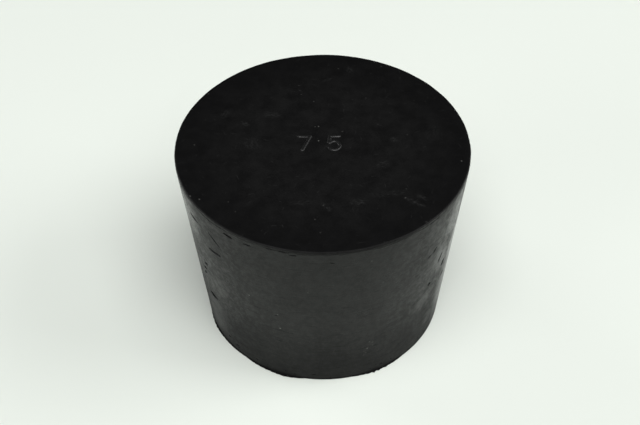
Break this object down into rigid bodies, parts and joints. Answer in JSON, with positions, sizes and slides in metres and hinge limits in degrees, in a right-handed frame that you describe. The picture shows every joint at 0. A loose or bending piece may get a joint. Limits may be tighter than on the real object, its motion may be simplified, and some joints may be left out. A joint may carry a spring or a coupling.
{
  "type": "rubber stopper",
  "caption": "Solid tapered rubber stopper that stands on its flat narrow end and plugs the round neck of a laboratory bottle or flask.",
  "frame": {"origin": "middle of the flat narrow end, on the axis of the taper", "axes": "+Z along the axis of the taper, from the narrow end to the wide end; the part is round, and -Y is the side that the picture looks at"},
  "size_m": [0.075, 0.075, 0.055],
  "materials": {
    "black_rubber": "satin moulded side, duller flat ends"
  },
  "bodies": {
    "root": {"stopper": "black_rubber"}
  },
  "joints": []
}
